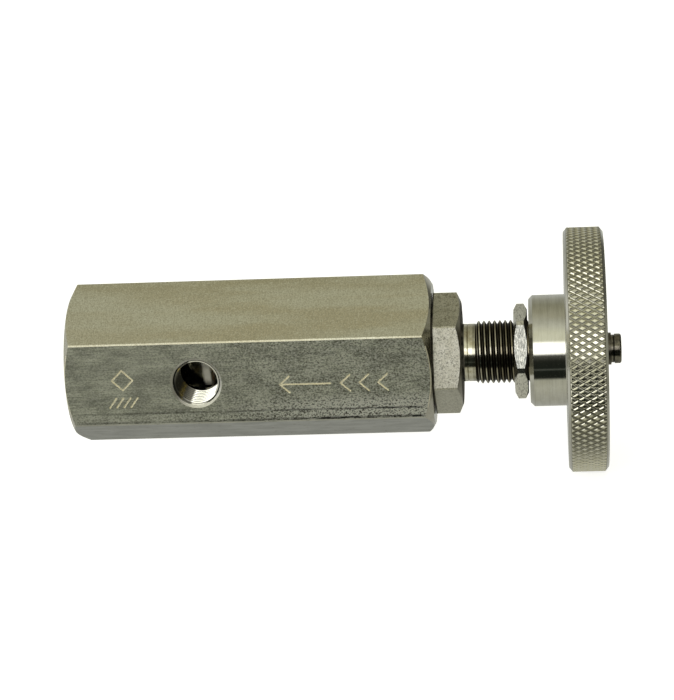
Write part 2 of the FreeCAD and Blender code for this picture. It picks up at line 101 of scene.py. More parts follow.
# Extra cuts along each rim chamfer, as shares of its width, and the share where the knurl's finish starts
RIM_CUTS = (0.25, 0.5, 0.625, 0.8, 1.0)
KNURL_FROM = 0.62
JOURNAL_CHAMFER = 0.3 * MM

KNURL_AROUND = 110
KNURL_ANGLE = math.radians(30)
KNURL_DEPTH = 0.295 * MM
# Each knurl diamond is a nest of rhombuses, from the rounded groove up its flank to the flat top,
# each with its size against the cell and its depth against the groove
KNURL_RINGS = ((1.0, 1.0), (0.93, 0.976), (0.86, 0.911), (0.78, 0.80), (0.60, 0.467), (0.43, 0.0))
SHARP_FROM = math.radians(18)
FILLET = 0.35 * MM
FILLET_STEPS = 6
BACK_STEP = HUB_RADIUS + 6 * FILLET

BORED_RADIUS = 16.5 * MM
BODY_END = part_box("valve_body")[HIGH][X]
BONNET_HEX_END = 110.5 * MM
NECK_SHADE_END = 111.3 * MM
HEAD_RIM = 39.3 * MM
CAP_START = 153.35 * MM
THREAD_START = 114.3 * MM
THREAD_CREST = 8.88 * MM


# ---------------------------------------------------------------- shader graphs

class Graph:
    """Short calls for the shader nodes that the finishes and the studio share."""

    def __init__(self, owner, coordinates):
        owner.use_nodes = True
        self.nodes = owner.node_tree.nodes
        self.links = owner.node_tree.links
        self.coordinates = self.add("TexCoord").outputs
        self.place = self.coordinates[coordinates]

    def add(self, kind, settings=(), inputs=()):
        node = self.nodes.new("ShaderNode" + kind)
        for key, value in dict(settings).items():
            setattr(node, key, value)
        for key, value in dict(inputs).items():
            self.feed(node.inputs[key], value)
        return node

    def feed(self, socket, value):
        if isinstance(value, bpy.types.NodeSocket):
            self.links.new(value, socket)
        elif socket.type == "RGBA":
            socket.default_value = (*value, 1.0)
        else:
            socket.default_value = value

    def calc(self, operation, first, second=0.0):
        return self.add("Math", {"operation": operation}, {0: first, 1: second}).outputs[0]

    def plus(self, first, second):
        return self.calc("ADD", first, second)

    def times(self, first, *others):
        for other in others:
            first = self.calc("MULTIPLY", first, other)
        return first

    def either(self, first, second):
        return self.calc("MAXIMUM", first, second)

    def split(self, vector):
        return self.add("SeparateXYZ", (), {0: vector}).outputs[:3]

    def length(self, first, second):
        return self.calc("SQRT", self.plus(self.times(first, first), self.times(second, second)))

    def span(self, value, low, high, to_low=0.0, to_high=1.0):
        """Map low..high onto to_low..to_high, held at the ends."""
        inputs = {0: value, 1: low, 2: high, 3: to_low, 4: to_high}
        return self.add("MapRange", {"clamp": True}, inputs).outputs[0]

    def band(self, value, middle, half, soft):
        """1 within half of the middle, falling to 0 over the soft margin."""
        away = self.calc("ABSOLUTE", self.calc("SUBTRACT", value, middle))
        return self.span(away, half, half + soft, 1.0, 0.0)

    def mix(self, share, first, second):
        return self.add("Mix", {"data_type": "RGBA"}, {0: share, 6: first, 7: second}).outputs[2]


class Finish(Graph):
    """One metal, plastic, rubber or paper finish, laid out in millimetres on the part."""

    def __init__(self, name, metallic=1.0, roughness=0.4):
        self.material = bpy.data.materials.new(name)
        super().__init__(self.material, "Object")
        self.shader = self.nodes["Principled BSDF"]
        self.shader.inputs["Metallic"].default_value = metallic
        self.shader.inputs["Roughness"].default_value = roughness
        self.normal = self.coordinates["Normal"]
        self.x, self.y, self.z = self.split(self.stretched(1, 1, 1))
        self.radius = self.length(self.y, self.z)

    def stretched(self, x, y, z):
        """Position with this many noise cells to a millimetre along each axis."""
        inputs = {0: self.place, 1: (x / MM, y / MM, z / MM)}
        return self.add("VectorMath", {"operation": "MULTIPLY"}, inputs).outputs[0]

    def turning(self, fine, around):
        """Position for turned work: fine along the axis and the radius, slow around."""
        along, outwards = self.times(self.x, fine), self.times(self.radius, fine)
        return self.add("CombineXYZ", (), {0: along, 1: outwards, 2: self.times(self.y, around)}).outputs[0]

    def noise(self, vector, detail=3.0, roughness=0.6):
        inputs = {"Vector": vector, "Scale": 1.0, "Detail": detail, "Roughness": roughness}
        return self.add("TexNoise", (), inputs).outputs[0]

    def bump(self, height, strength, distance):
        inputs = {"Height": height, "Strength": strength, "Distance": distance}
        return self.add("Bump", (), inputs).outputs[0]

    def close(self, colour, roughness, normal, metallic=None):
        values = {"Base Color": colour, "Roughness": roughness, "Normal": normal, "Metallic": metallic}
        for name, value in values.items():
            if value is not None:
                self.feed(self.shader.inputs[name], value)
        return self.material


# ---------------------------------------------------------------- finishes

# Where the body's finish changes, in millimetres: along the bar, then up it, then in its port
INLET_GREY = (0.0, 45.0)
DIRT_GROWS = (20.0, 60.0)
PALE_RIGHT = (40.0, 80.0)
PALE_LEFT = (40.0, 30.0)
SCORES_START = (2.0, 6.0)
SCORES_STOP = (101.0, 99.0)
UPPER_SCORE_DARKENS = (30.0, 85.0)
LOWER_SCORE_DARKENS = (30.0, 75.0)
TOP_BAND = (20.0, 22.6)
PALE_RIGHT_BELOW = (-4.0, -7.0)
PALE_LEFT_BELOW = (-8.4, -9.2)
DIRTY_BELOW = (-8.6, -9.2)
UPPER_SCORE = -8.55
LOWER_SCORE = -11.2
PORT_WALL = (1.0, 1.4)
# Where painted shade darkens the port wall on the inlet side
PORT_WALL_SHADE = (-1.6, -2.2)
# Where a painted brass glint lies on the port wall
PORT_GLINT = -4.7
# How far under the port flat a surface counts as cut into it
SKIN = 0.02

# Colours and gloss of painted shade, dark and dull like grime
SHADE_DARK = (0.03, 0.028, 0.022)
SHADE_BROWN = (0.15, 0.14, 0.11)
SHADE_GLOSS = 0.1


def shade(colour, share):
    return tuple(share * channel for channel in colour)


def smooth_flats(f, facing, cross, blotch):
    """Flats away from the port: pale olive and faintly clouded, greyer near the inlet end and below."""
    cloud = f.noise(f.stretched(0.02, 0.13, 0.13), detail=3.0)
    grit = f.noise(f.stretched(2.4, 2.4, 2.4), detail=2.0, roughness=0.8)
    spot = f.noise(f.stretched(0.55, 0.8, 0.8), detail=2.0)
    under = f.span(facing[2], -0.3, -0.6)
    colour = f.mix(f.span(cloud, 0.40, 0.60), (0.79, 0.78, 0.66), (0.69, 0.64, 0.48))
    colour = f.mix(f.span(f.x, *INLET_GREY, 0.4, 0.0), colour, (0.80, 0.80, 0.73))
    top_band = f.times(f.span(f.z, *TOP_BAND, 0.0, 0.5), f.span(cloud, 0.35, 0.55))
    colour = f.mix(top_band, colour, (0.54, 0.50, 0.35))
    colour = f.mix(f.span(cross, 0.44, 0.62, 0.0, 0.35), colour, (0.50, 0.47, 0.35))
    colour = f.mix(f.span(grit, 0.50, 0.64, 0.0, 0.62), colour, (0.46, 0.44, 0.34))
    colour = f.mix(f.span(grit, 0.46, 0.36, 0.0, 0.5), colour, (0.95, 0.95, 0.87))
    lower = f.mix(f.span(blotch, 0.4, 0.6), (0.485, 0.495, 0.485), (0.405, 0.415, 0.405))
    colour = f.mix(under, colour, lower)
    spots = f.times(under, f.span(spot, 0.64, 0.68), f.span(grit, 0.40, 0.5))
    return f.mix(f.times(spots, 0.7), colour, (0.20, 0.19, 0.15))


def brushed_flat(f, brushed, blotch, speck):
    """Port flat: grey, brushed along the bar, speckled and dirtier towards the bonnet and lower edge."""
    colour = f.mix(f.span(brushed, 0.42, 0.58), (0.72, 0.735, 0.60), (0.48, 0.49, 0.40))
    colour = f.mix(f.span(blotch, 0.48, 0.60, 0.0, 0.6), colour, (0.34, 0.345, 0.285))
    colour = f.mix(f.span(blotch, 0.46, 0.36, 0.0, 0.4), colour, (0.86, 0.87, 0.73))
    low_right = f.times(f.span(f.x, *PALE_RIGHT), f.span(f.z, *PALE_RIGHT_BELOW))
    colour = f.mix(f.times(low_right, 0.9), colour, (1.0, 1.0, 0.89))
    low_left = f.times(f.span(f.x, *PALE_LEFT), f.span(f.z, *PALE_LEFT_BELOW), 0.35)
    colour = f.mix(low_left, colour, (0.90, 0.91, 0.77))

    dirt = f.plus(f.span(f.x, *DIRT_GROWS, 0.42, 0.8), f.times(low_right, 0.35))
    dirt = f.plus(dirt, f.span(f.z, *DIRTY_BELOW, 0.0, 0.2))
    pits = f.times(f.span(speck, 0.50, 0.62), dirt)
    colour = f.mix(pits, colour, (0.10, 0.10, 0.08))
    lights = f.times(f.span(speck, 0.47, 0.38), dirt, 0.8)
    colour = f.mix(lights, colour, (0.97, 0.97, 0.88))

    ragged = f.span(f.noise(f.stretched(0.5, 3.0, 3.0), detail=3.0), 0.44, 0.54)
    along = f.times(f.span(f.x, *SCORES_START), f.span(f.x, *SCORES_STOP))
    upper = f.times(f.band(f.z, UPPER_SCORE, 0.12, 0.25), f.span(f.x, *UPPER_SCORE_DARKENS, 0.5, 0.95))
    lower = f.times(f.band(f.z, LOWER_SCORE, 0.20, 0.35), f.span(f.x, *LOWER_SCORE_DARKENS, 0.5, 1.0))
    scores = f.times(f.either(upper, lower), along, f.span(ragged, 0.0, 1.0, 0.4, 1.0))
    return f.mix(scores, colour, (0.045, 0.045, 0.04))


def port_wall_and_shade(f, colour, in_port, sunk, mouth, port_x, port_radius, brushed):
    """Exhaust port: pale deburred mouth, dark relief, painted shade on the inlet-side wall, and a painted
    brass glint.
    """
    colour = f.mix(mouth, colour, (0.97, 0.96, 0.90))
    relief = f.times(in_port, f.band(sunk, (PORT_CHAMFER + PORT_RELIEF_DEPTH) / 2 / MM, 0.25, 0.05))
    colour = f.mix(f.times(relief, 0.7), colour, (0.10, 0.10, 0.08))
    wall = f.times(in_port, f.span(sunk, *PORT_WALL))
    colour = f.mix(wall, colour, (0.90, 0.89, 0.82))
    # painted shade: the inlet-side wall is darkened for the dark bore it mirrors, and its thread roots darker
    # still
    dark_wall_shade = f.times(wall, f.span(port_x, *PORT_WALL_SHADE, 0.0, 0.93))
    colour = f.mix(dark_wall_shade, colour, (0.07, 0.065, 0.045))
    root_shade = f.times(dark_wall_shade, f.span(port_radius, PORT_DRILL / MM + 0.1, PORT_DRILL / MM + 0.3))
    colour = f.mix(root_shade, colour, (0.01, 0.01, 0.008))
    # painted reflection: a brass-coloured glint on the wall
    painted_glint = f.times(wall, f.band(port_x, PORT_GLINT, 0.2, 0.4), f.span(brushed, 0.44, 0.52), 0.8)
    return f.mix(painted_glint, colour, (0.62, 0.47, 0.12))


def drawn_bar():
    """Body: hexagonal bar with a dirty, brushed port flat, smoother flats elsewhere, and pale marks."""
    f = Finish("drawn_bar")
    brushed = f.noise(f.stretched(0.16, 3.4, 3.4), detail=4.0, roughness=0.7)
    cross = f.noise(f.stretched(3.2, 0.5, 0.5), detail=3.0)
    blotch = f.noise(f.stretched(0.12, 0.3, 0.3), detail=4.0)
    speck = f.noise(f.stretched(1.8, 2.6, 2.6), detail=3.0, roughness=0.7)
    rings = f.noise(f.turning(3.0, 0.05), detail=3.0, roughness=0.7)
    facing = f.split(f.normal)
    port_flat = f.span(facing[1], -0.97, -0.93, 1.0, 0.0)
    flats = f.mix(port_flat, smooth_flats(f, facing, cross, blotch), brushed_flat(f, brushed, blotch, speck))

    # bored, threaded and faced surfaces are clean; the cone at the bonnet end gets painted shade
    port_x = f.calc("SUBTRACT", f.x, PORT_X / MM)
    port_radius = f.length(port_x, f.z)
    sunk = f.calc("SUBTRACT", f.y, PORT_FACE / MM)
    in_port = f.times(f.calc("LESS_THAN", port_radius, PORT_RING / MM), f.calc("LESS_THAN", f.y, 0.0),
                      f.calc("GREATER_THAN", f.y, PORT_FACE / MM + SKIN))
    mouth = f.times(in_port, f.span(sunk, PORT_CHAMFER / MM, PORT_CHAMFER / MM - 0.05))
    faced = f.span(f.calc("ABSOLUTE", facing[0]), 0.93, 0.98)
    bored = f.either(f.either(in_port, f.calc("LESS_THAN", f.radius, BORED_RADIUS / MM)), faced)
    coarse = f.noise(f.turning(1.3, 0.04), detail=2.0)
    turned = f.mix(f.span(coarse, 0.40, 0.64), (0.74, 0.73, 0.67), (0.62, 0.61, 0.54))
    turned = f.mix(f.times(f.span(blotch, 0.5, 0.62, 0.0, 0.5), faced), turned, (0.44, 0.42, 0.34))
    colour = f.mix(bored, flats, turned)
    colour = port_wall_and_shade(f, colour, in_port, sunk, mouth, port_x, port_radius, brushed)
    # painted shade: the cone at the bonnet end is darkened, less towards its top
    cone_shade = f.times(f.span(facing[0], 0.45, 0.6), f.span(facing[2], 0.75, 0.45), 0.6)
    colour = f.mix(cone_shade, colour, (0.30, 0.29, 0.24))

    # engraved strokes: below the port flat, inside the marked strip and away from the port
    below = f.span(f.y, PORT_FACE / MM + SKIN, PORT_FACE / MM + 3 * SKIN)
    shallow = f.calc("LESS_THAN", f.y, (PORT_FACE + 2 * MARK_DEPTH) / MM)
    strip = f.calc("LESS_THAN", f.calc("ABSOLUTE", f.z), MARK_REACH / MM)
    off_port = f.calc("GREATER_THAN", port_radius, PORT_RING / MM)
    marked = f.times(below, shallow, strip, off_port)
    colour = f.mix(marked, colour, (0.95, 0.92, 0.78))

    grain = f.mix(port_flat, cross, brushed)
    height = f.mix(bored, f.mix(f.times(port_flat, 0.5), grain, speck), rings)
    normal = f.bump(height, f.span(bored, 0.0, 1.0, 0.30, 0.12), 0.06 * MM)
    roughness = f.span(blotch, 0.35, 0.65, 0.40, 0.48)
    roughness = f.mix(port_flat, roughness, f.span(speck, 0.4, 0.6, 0.46, 0.56))
    endways = f.span(f.calc("ABSOLUTE", facing[0]), 0.55, 0.7)
    roughness = f.mix(f.either(bored, endways), roughness, (0.12, 0.12, 0.12))
    roughness = f.mix(mouth, roughness, (0.5, 0.5, 0.5))
    roughness = f.mix(marked, roughness, (0.8, 0.8, 0.8))
    return f.close(colour, roughness, normal)


def turned_metal(name, pale, deep, roughness, depth):
    """Turned or drawn metal: fine rings along the axis and on end faces, and faint stains."""
    f = Finish(name)
    rings = f.noise(f.turning(2.6, 0.04), detail=4.0, roughness=0.7)
    stain = f.noise(f.stretched(0.3, 0.3, 0.3), detail=4.0)
    swirl = f.noise(f.turning(0.7, 0.06), detail=4.0, roughness=0.7)
    colour = f.mix(f.span(stain, 0.38, 0.66), pale, deep)
    colour = f.mix(f.span(swirl, 0.45, 0.6, 0.0, 0.3), colour, shade(deep, 0.6))
    colour = f.mix(f.span(rings, 0.55, 0.8, 0.0, 0.4), colour, shade(deep, 0.5))
    normal = f.bump(rings, 0.3, depth)
    rough = f.span(f.plus(rings, stain), 0.8, 1.25, roughness * 0.8, roughness * 1.3)
    return f.close(colour, rough, normal)


def grainy_flats(f, pale, deep, roughness, grain):
    """Colour, roughness and height of milled hexagon flats: grainy, pitted, a little worn."""
    wide = f.noise(f.stretched(0.45, 0.45, 0.45), detail=4.0)
    grit = f.noise(f.stretched(*grain), detail=3.0, roughness=0.75)
    rings = f.noise(f.turning(2.6, 0.04), detail=3.0)
    endways = f.span(f.calc("ABSOLUTE", f.split(f.normal)[0]), 0.3, 0.5)
    colour = f.mix(f.span(wide, 0.35, 0.65), pale, deep)
    colour = f.mix(f.span(grit, 0.49, 0.62, 0.0, 0.8), colour, shade(deep, 0.35))
    colour = f.mix(endways, colour, deep)
    rough = f.span(grit, 0.3, 0.7, roughness * 0.8, roughness * 1.25)
    return colour, rough, f.mix(endways, grit, rings)


def nut_finish():
    """Bright nut with scratchy flats, and painted shade on the side that meets the handwheel."""
    f = Finish("nut_steel")
    f.shader.inputs["Specular IOR Level"].default_value = SHADE_GLOSS
    colour, rough, height = grainy_flats(f, (0.80, 0.79, 0.73), (0.70, 0.69, 0.63), 0.16, (2.8, 0.9, 0.9))
    facing = f.split(f.normal)
    scratches = f.noise(f.stretched(4.0, 0.7, 0.7), detail=4.0, roughness=0.7)
    scratched = f.times(f.span(facing[1], -0.83, -0.88), f.span(scratches, 0.40, 0.56, 0.25, 0.9))
    colour = f.mix(scratched, colour, (0.16, 0.165, 0.16))
    # painted shade: the side towards the handwheel turns dark and dull
    facing_wheel = f.span(facing[0], 0.3, 0.5)
    colour = f.mix(facing_wheel, colour, SHADE_DARK)
    rough = f.mix(facing_wheel, rough, (0.6, 0.6, 0.6))
    metallic = f.span(facing_wheel, 0.0, 1.0, 1.0, 0.1)
    return f.close(colour, rough, f.bump(height, 0.9, 0.10 * MM), metallic)


def bonnet_finish():
    """Milled hexagon, then a smooth turned sleeve with grime down in its thread and painted shade at its
    corners.
    """
    f = Finish("bonnet_steel")
    f.shader.inputs["Specular IOR Level"].default_value = SHADE_GLOSS
    colour, rough, height = grainy_flats(f, (0.70, 0.68, 0.59), (0.58, 0.56, 0.46), 0.32, (2.2, 2.2, 2.2))
    facing = f.split(f.normal)
    streak = f.noise(f.stretched(0.9, 0.5, 0.35), detail=4.0, roughness=0.7)
    dirty = f.times(f.span(facing[2], 0.5, 0.7), f.span(streak, 0.52, 0.64))
    colour = f.mix(f.times(dirty, 0.6), colour, (0.22, 0.20, 0.14))
    colour = f.mix(f.span(facing[2], -0.3, -0.5, 0.0, 0.45), colour, (0.44, 0.44, 0.40))
    # painted shade: the seam by the body, the neck just past the hexagon, and the faces and cone towards the
    # handwheel
    seam = f.span(f.x, BODY_END / MM + 0.55, BODY_END / MM + 0.4)
    hex_end = BONNET_HEX_END / MM
    shade_end = NECK_SHADE_END / MM
    shaded = f.times(f.span(f.x, shade_end, shade_end - 0.15), f.span(f.x, hex_end - 0.02, hex_end))
    painted_shade = f.either(f.either(seam, shaded), f.span(facing[0], 0.93, 0.98))
    cone_shade = f.span(facing[0], 0.5, 0.8, 0.0, 0.5)

    sleeve = f.span(f.x, hex_end, hex_end + 0.1)
    rings = f.noise(f.turning(2.2, 0.04), detail=3.0)
    stain = f.noise(f.stretched(0.5, 0.5, 0.5), detail=4.0)
    turned = f.mix(f.span(stain, 0.4, 0.66), (0.68, 0.66, 0.56), (0.44, 0.40, 0.29))
    start = THREAD_START / MM
    crest = THREAD_CREST / MM
    run_in = f.times(f.span(f.x, start - 0.9, start - 0.4), f.span(rings, 0.46, 0.54))
    turned = f.mix(f.times(run_in, 0.7), turned, (0.10, 0.09, 0.06))
    threaded = f.span(f.x, start, start + 0.2)
    groove = f.times(threaded, f.span(f.radius, crest - 0.01, crest - 0.06),
                     f.span(f.x, start, start + 2.0, 0.5, 1.0))
    worn = f.span(f.x, start, start + 11.0, 0.05, 0.8)
    turned = f.mix(f.times(threaded, worn), turned, (0.20, 0.17, 0.11))
    turned = f.mix(f.times(groove, f.span(stain, 0.4, 0.6, 0.98, 0.9)), turned, (0.03, 0.026, 0.018))
    shade_colour = f.mix(f.span(f.plus(stain, f.times(rings, 0.5)), 0.66, 0.86), SHADE_DARK, SHADE_BROWN)
    colour = f.mix(f.either(painted_shade, cone_shade), f.mix(sleeve, colour, turned), shade_colour)
    rough = f.mix(sleeve, rough, f.span(groove, 0.0, 1.0, 0.13, 0.4))
    rough = f.mix(painted_shade, rough, (0.6, 0.6, 0.6))
    normal = f.bump(f.mix(sleeve, height, rings), f.span(sleeve, 0.0, 1.0, 0.45, 0.15), 0.06 * MM)
    return f.close(colour, rough, normal, f.span(painted_shade, 0.0, 1.0, 1.0, 0.1))


def poppet_finish():
    """Lapped poppet: painted shade on its flared side, and a painted highlight, pale and matte, at the rim of
    its head.
    """
    f = Finish("poppet_steel")
    rings = f.noise(f.turning(2.4, 0.04), detail=3.0)
    stain = f.noise(f.stretched(0.6, 0.6, 0.6), detail=4.0)
    # painted highlight at the rim of the head, painted shade on the flared side
    head = f.span(f.x, HEAD_RIM / MM - 2.6, HEAD_RIM / MM - 1.8)
    flared = f.mix(f.span(stain, 0.4, 0.6), (0.40, 0.40, 0.36), (0.22, 0.21, 0.17))
    colour = f.mix(head, flared, (1.0, 0.97, 0.84))
    colour = f.mix(f.span(rings, 0.52, 0.66, 0.0, 0.3), colour, (0.20, 0.19, 0.15))
    rough = f.span(head, 0.0, 1.0, 0.25, 0.55)
    return f.close(colour, rough, f.bump(rings, 0.3, 0.04 * MM), f.span(head, 0.0, 1.0, 1.0, 0.0))


def knurl_finish():
    """Rim of the wheel: rolled diamonds, bright tops, and grooves darkened by grime and painted shade."""
    f = Finish("knurl_steel")
    depth = f.span(f.radius, (RIM_RADIUS - KNURL_DEPTH) / MM, RIM_RADIUS / MM)
    stain = f.noise(f.stretched(0.5, 0.5, 0.5), detail=3.0)
    grit = f.noise(f.stretched(3.0, 3.0, 3.0), detail=3.0)
    colour = f.mix(f.span(stain, 0.35, 0.65), (0.80, 0.78, 0.685), (0.72, 0.70, 0.58))
    # the grooves darken with depth: grime, and painted shade in the pits
    colour = f.mix(f.span(depth, 0.02, 0.35, 0.8, 0.0), colour, (0.13, 0.125, 0.08))
    normal = f.bump(grit, 0.2, 0.03 * MM)
    rough = f.span(grit, 0.4, 0.6, 0.08, 0.16)
    return f.close(colour, rough, normal)


def blackened_steel(name, pale, deep, roughness):
    """Oiled dark steel: brown-black with worn high spots, and painted shade, black, in the groove before the
    spindle's cap.
    """
    f = Finish(name)
    mottle = f.noise(f.stretched(0.9, 0.9, 0.9), detail=4.0, roughness=0.7)
    rings = f.noise(f.turning(2.6, 0.04), detail=3.0)
    colour = f.mix(f.span(mottle, 0.44, 0.64), pale, deep)
    # painted shade: the groove before the cap is black
    groove_shade = f.times(f.calc("LESS_THAN", f.radius, JOURNAL_BORE / MM - 0.1),
                     f.band(f.x, CAP_START / MM - 0.25, 0.25, 0.05))
    colour = f.mix(f.times(groove_shade, 0.9), colour, (0.01, 0.009, 0.007))
    normal = f.bump(f.plus(rings, mottle), 0.15, 0.05 * MM)
    rough = f.span(mottle, 0.35, 0.65, roughness * 0.7, roughness * 1.3)
    return f.close(colour, rough, normal)


def plain(name, colour, dark, roughness):
    """Rubber and plastic inner pieces: fine grain and slight colour drift."""
    f = Finish(name, metallic=0.0)
    drift = f.noise(f.stretched(0.6, 0.6, 0.6), detail=3.0)
    grit = f.noise(f.stretched(2.0, 2.0, 2.0), detail=3.0)
    mixed = f.mix(f.span(drift, 0.35, 0.65), colour, dark)
    rough = f.span(grit, 0.3, 0.7, roughness * 0.85, roughness * 1.15)
    return f.close(mixed, rough, f.bump(grit, 0.2, 0.04 * MM))


# ---------------------------------------------------------------- mesh helpers

def to_object(name, bm, materials):
    mesh = bpy.data.meshes.new(name)
    bm.to_mesh(mesh)
    bm.free()
    for material in materials:
        mesh.materials.append(material)
    for polygon in mesh.polygons:
        polygon.use_smooth = True
    mesh.set_sharp_from_angle(angle=SHARP_FROM)
    piece = bpy.data.objects.new(name, mesh)
    bpy.context.scene.collection.objects.link(piece)
    return piece


def ring_of(bm, x, radius, angles):
    return [bm.verts.new((x, radius * math.cos(a), radius * math.sin(a))) for a in angles]


def angles_of(ring):
    return [math.atan2(v.co.z, v.co.y) for v in ring]


def join_rings(bm, first, second):
    count = len(first)
    for number in range(count):
        following = (number + 1) % count
        bm.faces.new((first[number], first[following], second[following], second[number]))


def lathe(bm, outline, start):
    """Turn an open outline of (x, radius) points about the valve's axis, on from a given first ring."""
    angles = angles_of(start)
    rings = [start] + [ring_of(bm, x, radius, angles) for x, radius in outline]
    for first, second in zip(rings, rings[1:]):
        join_rings(bm, first, second)
    return rings[-1]


# ---------------------------------------------------------------- handwheel

def knurl_flat(bm):
    """Diamonds laid out flat: X along the rim, Y in pitches around it, Z the depth below the crests."""
    pitch = 2 * math.pi * RIM_RADIUS / KNURL_AROUND
    half_length = pitch / 2 / math.tan(KNURL_ANGLE)
    rows = math.ceil((DISC_FACE - DISC_BACK) / half_length) + 2
    for row in range(rows):
        for column in range(KNURL_AROUND):
            middle = Vector((DISC_BACK + (row - 0.5) * half_length, column + 0.5 * (row % 2), 0))
            nest = []
            for size, depth in KNURL_RINGS:
                corners = ((half_length, 0), (0, 0.5), (-half_length, 0), (0, -0.5))
                nest.append([
                    bm.verts.new(middle + Vector((dx * size, dy * size, -depth * KNURL_DEPTH)))
                    for dx, dy in corners
                ])
            for outer, inner in zip(nest, nest[1:]):
                join_rings(bm, outer, inner)
            bm.faces.new(nest[-1])
    bmesh.ops.remove_doubles(bm, verts=bm.verts, dist=0.001 * MM)


def cut_flat(bm, x, drop):
    """Cut across the flat pattern at x, and drop the part on one side of it if asked."""
    everything = bm.verts[:] + bm.edges[:] + bm.faces[:]
    bmesh.ops.bisect_plane(bm, geom=everything, plane_co=(x, 0, 0), plane_no=(1, 0, 0), dist=1e-8,
                           clear_inner=drop == "below", clear_outer=drop == "above")


def rim_limit(x):
    """Radius of the two end chamfers, which cut the knurl short."""
    inside = min(x - DISC_BACK, DISC_FACE - x)
    return RIM_RADIUS - RIM_CHAMFER_HEIGHT * (1 - min(1.0, inside / RIM_CHAMFER))


def wrap_rim(bm):
    for vert in bm.verts:
        x, around, height = vert.co
        radius = min(RIM_RADIUS + height, rim_limit(x))
        angle = 2 * math.pi * around / KNURL_AROUND
        vert.co = (x, radius * math.cos(angle), radius * math.sin(angle))
    bmesh.ops.remove_doubles(bm, verts=bm.verts, dist=0.002 * MM)


def edge_ring(bm, x):
    """The rim's open edge at x, in order of angle."""
    verts = [v for v in bm.verts if v.is_boundary and abs(v.co.x - x) < 0.01 * MM]
    return sorted(verts, key=lambda v: math.atan2(v.co.z, v.co.y))


def back_outline():
    """From the disc's back, round the fillet, over the hub and into its bore, to the floor of the bore."""
    outline = [(DISC_BACK, BACK_STEP)]
    for step in range(FILLET_STEPS + 1):
        turn = math.pi / 2 * step / FILLET_STEPS
        inwards = FILLET * (1 - math.cos(turn))
        outwards = FILLET * (1 - math.sin(turn))
        outline.append((DISC_BACK - inwards, HUB_RADIUS + outwards))
    return outline + [
        (HUB_FACE + HUB_CHAMFER, HUB_RADIUS),
        (HUB_FACE, HUB_RADIUS - HUB_CHAMFER),
        (HUB_FACE, HUB_MOUTH),
        (HUB_FACE + HUB_MOUTH - HUB_BORE, HUB_BORE),
        (HUB_THREAD_END, HUB_BORE),
        (HUB_THREAD_END, HUB_RELIEF),
        (HUB_FLOOR, HUB_RELIEF),
        (HUB_FLOOR, FACE_STEP),
    ]


def front_outline():
    """From the disc's face into the hole for the spindle, to the floor of the bore."""
    return [
        (DISC_FACE, FACE_STEP),
        (DISC_FACE, JOURNAL_BORE + JOURNAL_CHAMFER),
        (DISC_FACE - JOURNAL_CHAMFER, JOURNAL_BORE),
        (HUB_FLOOR, JOURNAL_BORE),
    ]


def make_handwheel(steel, knurl):
    bm = bmesh.new()
    knurl_flat(bm)
    cut_flat(bm, DISC_BACK, "below")
    cut_flat(bm, DISC_FACE, "above")
    for share in RIM_CUTS:
        cut_flat(bm, DISC_BACK + share * RIM_CHAMFER, None)
        cut_flat(bm, DISC_FACE - share * RIM_CHAMFER, None)
    wrap_rim(bm)
    for face in bm.faces:
        x = face.calc_center_median().x
        rolled = min(x - DISC_BACK, DISC_FACE - x) > KNURL_FROM * RIM_CHAMFER
        face.material_index = int(rolled)
    back = edge_ring(bm, DISC_BACK)
    front = edge_ring(bm, DISC_FACE)
    floor_outer = lathe(bm, back_outline(), back)
    floor_inner = lathe(bm, front_outline(), front)
    loops = []
    for ring in (floor_outer, floor_inner):
        for first, second in zip(ring, ring[1:] + ring[:1]):
            loops.append(bm.edges.get((first, second)))
    bmesh.ops.bridge_loops(bm, edges=loops)
    bmesh.ops.recalc_face_normals(bm, faces=bm.faces)
    piece = to_object("handwheel_knurled", bm, [steel, knurl])
    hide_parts("handwheel")
    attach(piece, "wheel")


# ---------------------------------------------------------------- finishes on the CAD pieces

def paint(node, material):
    for slot in frame["nodes"][node].material_slots:
        slot.material = material


def finish_pieces():
    wheel = turned_metal("wheel_steel", (0.67, 0.665, 0.62), (0.62, 0.61, 0.55), 0.09, 0.02 * MM)
    spindle = blackened_steel("spindle_steel", (0.20, 0.185, 0.15), (0.07, 0.063, 0.05), 0.17)
    ring = blackened_steel("ring_steel", (0.12, 0.11, 0.09), (0.05, 0.045, 0.035), 0.3)
    inner = turned_metal("inner_steel", (0.66, 0.65, 0.60), (0.58, 0.56, 0.50), 0.16, 0.04 * MM)
    wire = turned_metal("wire_steel", (0.42, 0.42, 0.41), (0.32, 0.32, 0.31), 0.35, 0.03 * MM)
    bronze = turned_metal("bronze", (0.72, 0.50, 0.24), (0.58, 0.38, 0.16), 0.3, 0.04 * MM)
    rubber = plain("rubber", (0.025, 0.025, 0.027), (0.015, 0.015, 0.016), 0.6)
    seat = plain("seat_plastic", (0.66, 0.56, 0.38), (0.60, 0.50, 0.33), 0.45)
    backup = plain("backup_plastic", (0.85, 0.85, 0.82), (0.78, 0.78, 0.75), 0.5)
    finishes = {
        drawn_bar(): ("valve_body",),
        bonnet_finish(): ("bonnet",),
        nut_finish(): ("lock_nut",),
        spindle: ("spindle",),
        ring: ("retaining_ring",),
        poppet_finish(): ("poppet",),
        inner: ("seat_insert", "seat_retainer", "thrust_ball", "lower_spring_plate", "upper_spring_plate"),
        wire: ("spring", "guide_retaining_ring"),
        bronze: ("poppet_guide", "thrust_washer"),
        rubber: ("seat_o_ring", "poppet_o_ring", "bonnet_o_ring", "spindle_o_ring"),
        seat: ("soft_seat",),
        backup: ("spindle_backup_ring",),
    }
    for material, names in finishes.items():
        for name in names:
            paint(name, material)
    make_handwheel(wheel, knurl_finish())


# ---------------------------------------------------------------- studio

